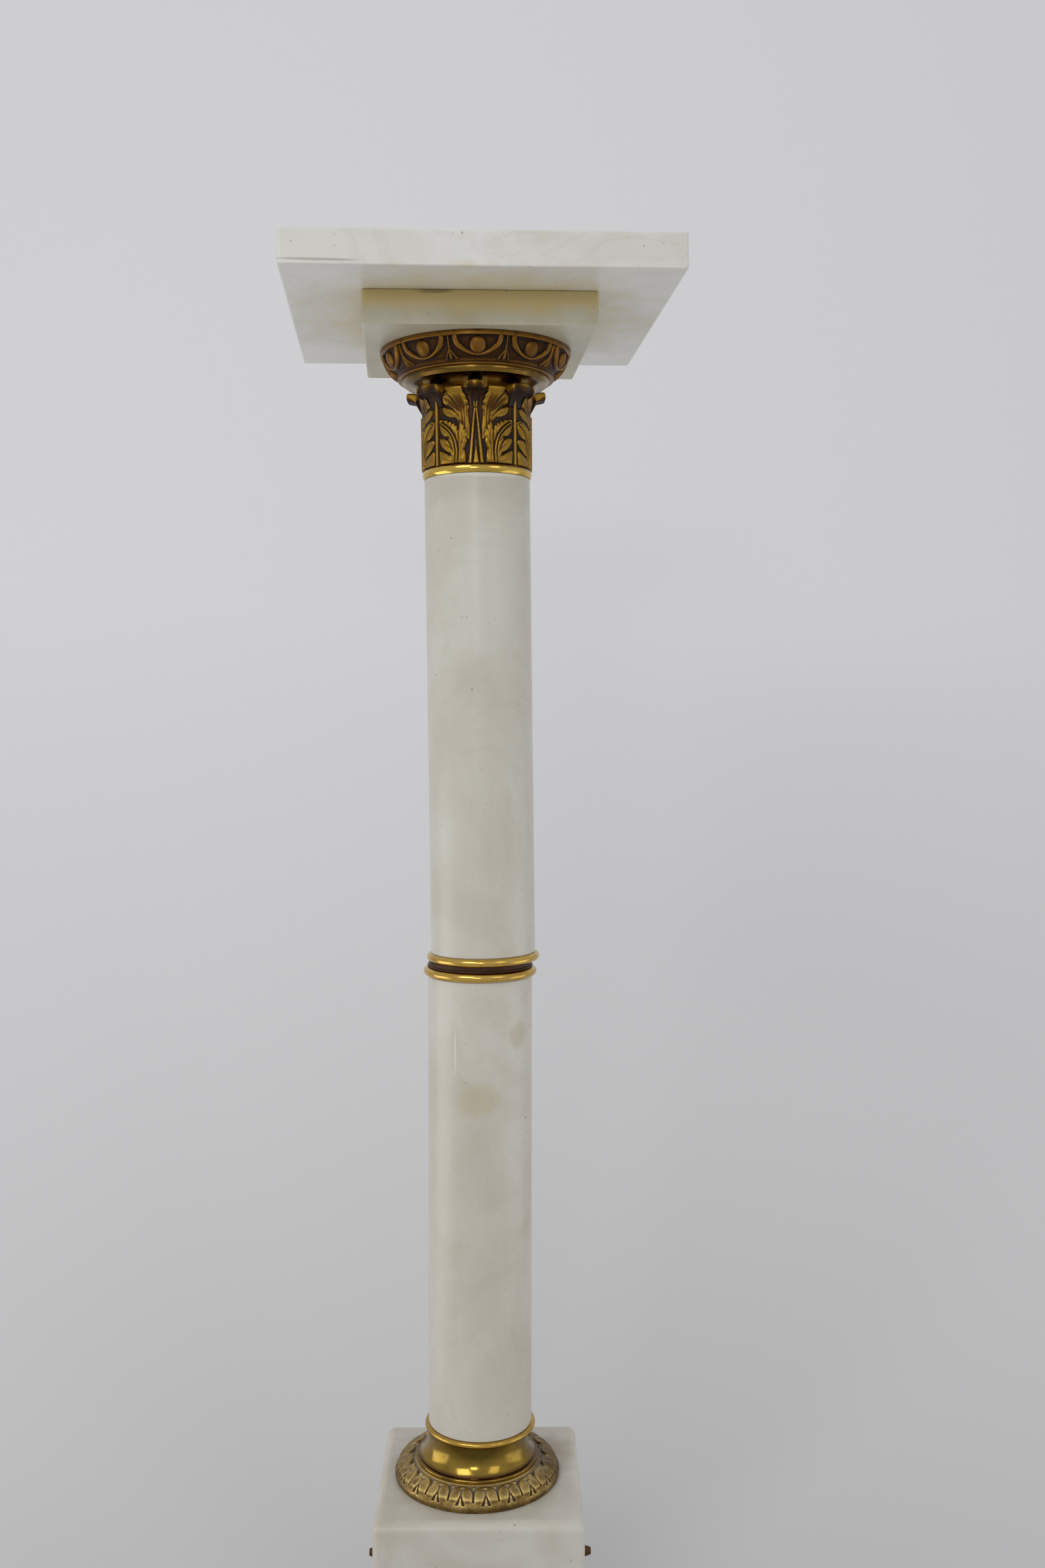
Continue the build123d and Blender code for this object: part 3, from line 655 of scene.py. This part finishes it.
leaf_map = leaf(tall_leaf, tall_rise, tall_creases, tall_veins)
flare = flare_rise * ramp(leaf_h, flare_foot, flare_foot + flare_run) ** 1.4
leaf_map = leaf_map + flare * (leaf_map > 0.2)
low_map = leaf(low_leaf, low_rise, low_creases, low_veins)
midrib, _ = from_line([
    (15.4, 0, 0), (14.8, 10.7, 0), (16.9, 20.5, 0), (21.2, 27.3, 0), (26.2, 32, 0),
])
ribbed = low_map + midrib_rise * ridge(midrib, midrib_width)
low_map = np.where(low_map > 0.3, ribbed, low_map)
grooved = low_map - groove_depth * ridge(midrib - groove_offset, groove_width)
low_map = np.where(low_map > 0.3, grooved, low_map)
leaf_map = np.maximum(leaf_map, low_map)
spear, _ = from_line([(4.7, 0, 0), (2.7, 21, 0), (0.7, 42, 0)])
blade = np.clip((spear_half_width - leaf_h * spear_taper - spear) / 0.5, 0, 1)
blade = blade * (leaf_h < spear_top)
core = np.clip((core_half_width * (1 - leaf_h / core_top) - leaf_x) / 0.6, 0, 1)
core = core * (leaf_h < core_top)
tube, _ = from_line([(0.5, 40, 0), (1.3, 48, 0), (3.2, 55, 0)])
for raised in (spear_rise * blade, core_rise * core, tube_rise * ramp(tube, 0.8, 0.4)):
    leaf_map = np.maximum(leaf_map, raised)
sunk = (leaf_x < sunk_half_width) * (leaf_map < 0.2) * (leaf_h > 1)
leaf_map = leaf_map - sunk_depth * sunk


def carve_acanthus(turn, section):
    """Looks the leaves up on their map, four units round and each side of a unit alike."""
    height = section[:, 1:] - basket_foot + 0 * turn
    unit = 2 * pi / unit_count
    off = np.abs((turn + unit / 2) % unit - unit / 2)
    across = section[:, :1] * np.sin(off) * map_stretch
    column = np.clip(across / map_step, 0, leaf_map.shape[1] - 1.001)
    row = np.clip((height - map_low) / map_step, 0, leaf_map.shape[0] - 1.001)
    c, r = column.astype(int), row.astype(int)
    u, v = column - c, row - r
    raised = (leaf_map[r, c] * (1 - u) * (1 - v) + leaf_map[r, c + 1] * u * (1 - v)
              + leaf_map[r + 1, c] * (1 - u) * v + leaf_map[r + 1, c + 1] * u * v)
    stem = (unit / 2 - off) * section[:, :1]
    raised = np.maximum(raised, stem_rise * ramp(stem, *stem_edge) * (height < stem_top))
    face = (section[:, :1] > basket_radius) & (height > 0.4)
    return np.where(face, raised, 0.0)


basket_section = path_through(
    (36, 0), (41.5, 0), (41.8, 0.15), (41.9, 0.5),
    np.stack([np.linspace(41.9, 42.0, 96), np.linspace(1, 45.6, 96)], 1),
    np.stack([np.linspace(42.0, 42.6, 26), np.linspace(46, 57.6, 26)], 1),
    (42.5, 58), (42.36, 58), (42.36, 51.3), (36, 51.3), (36, 51),
) + np.array((0, basket_foot))
curl_knots = [
    (42.6, 44.5), (43.6, 48), (45.6, 52), (49.2, 54.6), (53.2, 55.4), (54.5, 57), (54.7, 59.8),
    (54, 61.4), (51, 61.6), (47.2, 60.4), (44.6, 56), (43.3, 50), (42.8, 46), (42.6, 44.5),
]
rib_depth = 0.7
rib_waves = 2.5
rib_radii = (47, 52)
droop_radii = (44, 52)
widening_heights = (48, 56)
lip_heights = (55, 62)


def curl(turn, half_width, root, droop):
    """A leaf tip that curls out over the bell, narrow at its root and rounded at its lip."""
    loop = smooth_line(curl_knots, count=60)[:-1]
    out, up = loop[:, :1], loop[:, 1:]
    spread = np.linspace(-1, 1, 31)[None, :]
    lip_shade = ramp(up, *lip_heights)
    width = half_width * (root + (1 - root) * ramp(up, *widening_heights) ** 1.3)
    across = width * np.sin(spread * pi / 2)
    shrink = np.clip(1 - np.abs(spread) ** 22, 0.02, 1)
    middle_out, middle_up = loop.mean(0)
    back = droop * spread ** 2 * ramp(out, *droop_radii)
    wave = np.cos(spread * pi * rib_waves)
    radius = middle_out + (out - middle_out) * shrink - back
    radius = radius + rib_depth * wave * ramp(out, *rib_radii)
    height = middle_up + (up - middle_up) * shrink - back * 0.9
    off = np.arctan2(across, radius)
    # Painted shade: each curl is painted darker low down under its lip and lighter on the lip's
    # top.
    shade = np.clip(0.12 + lip_shade * 0.62 + 0.16 * wave, 0, 1) + 0 * radius
    grid = on_seat(upper_seat, np.hypot(radius, across), turn + off, height + basket_foot)
    return np.transpose(grid, (1, 0, 2))[::-1], shade.T[::-1], False


unit_turns = [k * 2 * pi / unit_count for k in range(unit_count)]
curls = [curl(turn, half_width=6.6, root=0.45, droop=0.6) for turn in unit_turns]
curls += [
    curl(turn + pi / unit_count, half_width=12.0, root=0.6, droop=3.0) for turn in unit_turns
]
basket_bronze = chased_finish(
    "basket_bronze", hollow=(40, 23, 15), middle=(92, 62, 25), worn=(150, 116, 44), dull=0.06,
)
chased_ring(
    "acanthus_basket_chased", upper_seat, basket_section, carve_acanthus, basket_columns,
    basket_bronze, "cast_bronze", "acanthus_basket", curls,
)

# Bell: turned thin and polished, it rises behind the curls and sweeps out to a flat band
# with two fine lines.
bell_bronze = polished_finish(
    "bell_bronze", (128, 100, 44), (66, 46, 24), amount=0.6, rough=0.18,
)
dress(["capital_bell"], bell_bronze)

# Egg and dart ring: a hollow cast ovolo under a plain rim. Ten eggs lie in their shells
# with a dart between two, all browned, and only the rim and the eggs' tips are rubbed.
ring_foot = 462.4
egg_count = 10
egg_turn = radians(2.3)
ground_depth = 2.7
shell_half_width = 17.9
shell_top = 18.6
shell_length = 13.8
shell_shoulder = 12
band_half_width, band_taper = 2.7, 1.1
scoop_depth, scoop_more = 1.6, 2.6
shell_groove_depth, shell_groove_width = 0.4, 0.5
egg_middle = 10.8
egg_half_width = 6.9
egg_lower_length, egg_upper_length = 8.0, 8.2
egg_rise = 3.9
egg_sink = 3.4
rib_rise = 2.5
barb_rise = 2.1
barb_spread = 4.0
dart_top = 9.5
dart_foot = 2
egg_columns = 760
foot_heights = (1.2, 2.4)
face_radii = (61.9, 74.7)
face_heights = (0.95, 18.3)


def carve_eggs(turn, section):
    """Eggs, the bands of their shells and the darts, cut in an ovolo's face."""
    radius, height = section[:, :1], section[:, 1:] - ring_foot + 0 * turn
    step = 2 * pi / egg_count
    off = (turn - egg_turn + step / 2) % step - step / 2
    across = np.abs(radius * np.sin(off))
    shell = np.hypot(across / shell_half_width, (height - shell_top) / shell_length)
    from_shell = (shell - 1) * np.where(height > shell_shoulder, 17.5, 15.0)
    scoop = -scoop_depth - scoop_more * np.clip(1 - ((shell - 0.6) / 0.34) ** 2, 0, 1)
    ground = np.where(shell < 1, scoop, -ground_depth)
    half = band_half_width - band_taper * ramp(height, shell_shoulder, 3)
    band = np.clip((half - np.abs(from_shell)) / 1.5, 0, 1) ** 0.8
    hollow = shell_groove_depth * ridge(from_shell - 0.9, shell_groove_width)
    raised = np.maximum(ground, band * (ground_depth - hollow) - ground_depth)
    egg_length = np.where(height < egg_middle, egg_lower_length, egg_upper_length)
    egg = 1 - (across / egg_half_width) ** 2 - ((height - egg_middle) / egg_length) ** 2
    dome = egg_rise * np.sqrt(np.maximum(egg, 0)) - egg_sink
    raised = np.where(egg > 0, np.maximum(raised, dome), raised)
    gap = np.abs(radius * np.sin(step / 2 - np.abs(off)))
    rib = np.clip((1.0 + 0.5 * ridge(height - 4, 2) - gap) / 0.9, 0, 1) * (height > dart_foot)
    spread = barb_spread * np.clip((dart_top - height) / 7, 0, 1) ** 1.3
    barb = np.clip((0.95 - np.abs(gap - spread)) / 0.8, 0, 1)
    barb = barb * (height < dart_top) * (height > dart_foot)
    raised = np.maximum(raised, rib_rise * rib - ground_depth)
    raised = np.maximum(raised, barb_rise * barb - ground_depth)
    foot = ramp(height, *foot_heights)
    raised = raised * foot - (1 - foot)
    face = (radius > face_radii[0]) & (radius < face_radii[1])
    face = face & (height > face_heights[0]) & (height < face_heights[1])
    return np.where(face, raised, 0.0)


egg_section = path_through(
    (36, 0), (61.6, 0), (61.9, 0.1), (62, 0.4), (62, 0.9),
    arc_through((62, 1), (70.3, 8), (74.55, 18.4), 104),
    (74.7, 18.45), (75.3, 18.45), (75.5, 18.65), (75.6, 18.95), (75.6, 20.4), (75.6, 21.8),
    (75.5, 22.1), (75.2, 22.2), (70.6, 22.2), (69.6, 18.6), (64.5, 10), (56.5, 3), (36, 3),
    (36, 2.7),
) + np.array((0, ring_foot))
egg_bronze = chased_finish(
    "egg_ring_bronze", hollow=(34, 20, 14), middle=(74, 48, 24), worn=(128, 90, 38), dull=0.06,
)
chased_ring(
    "egg_and_dart_ring_chased", upper_seat, egg_section, carve_eggs, egg_columns, egg_bronze,
    "cast_bronze", "egg_and_dart_ring", tone=0.17,
)

# Abacus: the smaller slab of onyx over the capital, stained yellow brown where damp has
# crept in under the top slab.
abacus_onyx = onyx_finish(
    "abacus_onyx", (188, 184, 164), (172, 163, 134),
    stains_and_shade=[
        ((-4, -4, 1104), (500, 500, 18), (194, 172, 112), 0.85),
        ((-30, -92, 1101), (14, 20, 3), (104, 74, 36), 0.6),
    ],
    drift=(0.9, 2.2, 0.3),
)
dress(["abacus_slab"], abacus_onyx)

# Top slab: one square of polished onyx, turned a little on the shaft, with dirt along its
# lower front edge and a small brown chip on the upper one. Its underside is yellowed round
# the abacus.
top_onyx = onyx_finish(
    "top_slab_onyx", (219, 218, 214), (209, 207, 199),
    stains_and_shade=[
        ((-4, -4, 1102), (128, 128, 7), (204, 190, 148), 0.75),
        ((-104, -152, 1103.7), (44, 3, 0.9), (120, 108, 84), 0.45),
        ((138, -148, 1103.7), (26, 3, 0.9), (120, 108, 84), 0.4),
        ((-30, -152, 1128.6), (5, 4, 1.6), (120, 96, 64), 0.6),
    ],
    drift=(2.0, 1.1, 0.6),
)
dress(["top_slab"], top_onyx)

# Rod, washers and nuts: plain iron with a little rust, all out of sight. The rod runs
# through the drums and mounts and holds them together between its two nuts.
iron, start, place = blank_finish("rod_iron")
rust = place.noise(scale=60.0, detail=4.0)
close_finish(start, {
    "Base Color": rust.mixed(paint(70, 66, 62), paint(104, 78, 60)), "Metallic": 0.8,
    "Roughness": 0.5 + rust * 0.25,
})
dress(["tie_rod", "top_washer", "top_nut", "bottom_washer", "bottom_nut"], iron)

# Floor and backdrop: one pale sheet that curves up behind the pedestal. From behind it is
# clear, so that the back of the pedestal shows too.
sweep_near, sweep_far, sweep_half, sweep_top, sweep_bend = -2.4, 0.95, 2.6, 3.2, 0.8
floor = [(sweep_near, 0.0), (sweep_near / 2, 0.0), (-0.4, 0.0)]
bend = [
    (sweep_far - sweep_bend + sweep_bend * np.sin(a), sweep_bend - sweep_bend * np.cos(a))
    for a in np.linspace(0, pi / 2, 33)
]
profile = floor + bend + [(sweep_far, 2.0), (sweep_far, sweep_top)]
corners = [(x, y, z) for y, z in profile for x in (-sweep_half, sweep_half)]
faces = [(2 * k, 2 * k + 1, 2 * k + 3, 2 * k + 2) for k in range(len(profile) - 1)]
mesh = bpy.data.meshes.new("backdrop")
mesh.from_pydata(corners, [], faces)
mesh.shade_smooth()
backdrop = bpy.data.objects.new("backdrop", mesh)
bpy.context.scene.collection.objects.link(backdrop)
paper, start, place = blank_finish("backdrop_paper")
# Painted shade: the sheet is painted darker low down and lighter high up, as light falling from
# above would leave it.
rise = (place.height() / 0.95).clamped()
tint = rise.mixed(paint(207, 207, 208), paint(229, 229, 231))
sheet = start.node("ShaderNodeBsdfPrincipled", {}, {"Base Color": tint, "Roughness": 0.9})
clear = start.node("ShaderNodeBsdfTransparent", {}, {})
behind = start.node("ShaderNodeNewGeometry", {}, {}, "Backfacing")
one_sided = start.node("ShaderNodeMixShader", {}, {0: behind, 1: sheet, 2: clear})
start.node("ShaderNodeOutputMaterial", {}, {"Surface": one_sided})
mesh.materials.append(paper)

# Lamps: broad soft ones in front of the pedestal, two weaker ones low beside it, and a
# plain pale room all round.
for name, place, aim, width, height, power in (
    ("key_lamp", (-1.3, -2.2, 2.4), (0, 0, 0.8), 1.3, 1.3, 17),
    ("fill_lamp", (1.5, -1.9, 1.9), (0, 0, 0.8), 0.9, 1.2, 4),
    ("front_lamp", (-0.25, -2.3, 1.35), (0, 0, 0.6), 0.5, 0.3, 3.6),
    ("left_bounce", (-1.15, -0.1, 0.3), (0, 0, 1.1), 0.8, 0.8, 3),
    ("right_bounce", (1.15, -0.1, 0.3), (0, 0, 1.1), 0.8, 0.8, 1.5),
):
    lamp = bpy.data.lights.new(name, "AREA")
    lamp.shape = "RECTANGLE"
    lamp.size, lamp.size_y, lamp.energy = width, height, power
    holder = bpy.data.objects.new(name, lamp)
    bpy.context.scene.collection.objects.link(holder)
    holder.location = place
    holder.rotation_euler = (Vector(aim) - Vector(place)).to_track_quat("-Z", "Y").to_euler()
room_strength = 0.765
world = bpy.data.worlds.new("pale_room")
world.use_nodes = True
room = world.node_tree.nodes["Background"]
room.inputs["Color"].default_value = paint(226, 226, 227)
room.inputs["Strength"].default_value = room_strength
bpy.context.scene.world = world
bpy.context.scene.view_settings.view_transform = "Standard"

# Camera: where the photograph was taken from, level with the middle of the upper drum and
# looking down a little.
camera_place = (0.0179, -1.197, 0.7843)
camera_pan, camera_tilt, camera_roll = -0.0136, -0.0422, -0.001
camera_data = bpy.data.cameras.new("camera")
camera_data.lens = 34.146
camera_data.sensor_width = 36
camera = bpy.data.objects.new("camera", camera_data)
bpy.context.scene.collection.objects.link(camera)
camera.matrix_world = (
    Matrix.Translation(camera_place) @ Matrix.Rotation(camera_pan, 4, "Z")
    @ Matrix.Rotation(camera_tilt, 4, "X") @ Matrix.Rotation(camera_roll, 4, "Y")
    @ Matrix.Rotation(pi / 2, 4, "X")
)
bpy.context.scene.camera = camera
